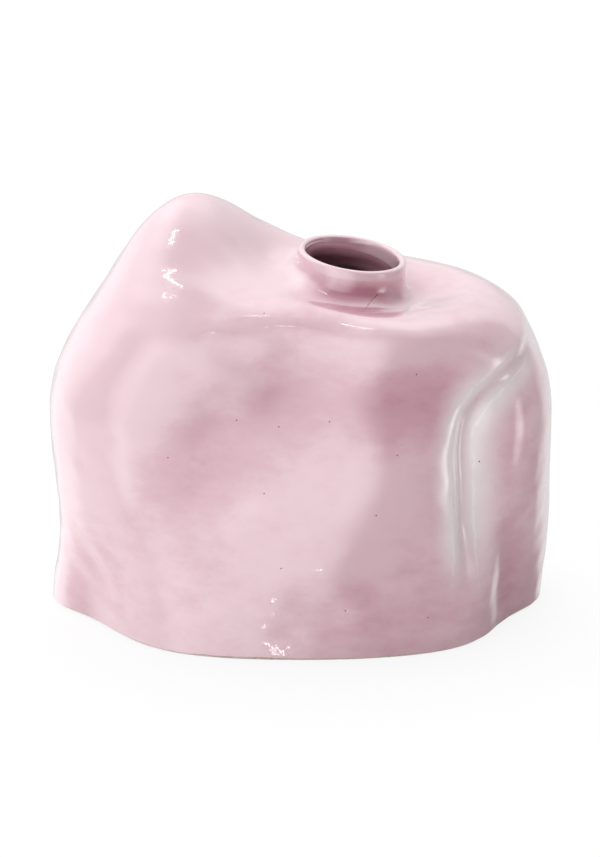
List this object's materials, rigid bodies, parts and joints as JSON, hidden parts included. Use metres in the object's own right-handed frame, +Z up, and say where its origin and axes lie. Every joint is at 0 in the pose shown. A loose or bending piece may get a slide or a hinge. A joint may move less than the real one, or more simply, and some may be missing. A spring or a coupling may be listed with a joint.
{
  "type": "pillow vase",
  "caption": "Hand-built pillow vase of pressed slabs on a flat base, with a short leaning neck, a folded crease and a glossy pink glaze; holds water and cut stems.",
  "frame": {"origin": "on the surface that the vase stands on, under the middle of the foot", "axes": "+Z up; +X to the viewer's right along the vase's width; the front, with the belly and the crease, faces -Y"},
  "size_m": [0.2535, 0.1599, 0.2066],
  "materials": {
    "clay": "bare buff stoneware, fired",
    "outer_glaze": "glossy pink, brushed, slightly mottled",
    "liner_glaze": "glossy pink, poured"
  },
  "bodies": {
    "root": {"base_slab": "clay", "front_slab": "clay", "back_slab": "clay", "neck_collar": "clay", "neck_seam_coil": "clay", "base_seam_coil": "clay", "outer_glaze": "outer_glaze", "liner_glaze": "liner_glaze"}
  },
  "joints": []
}
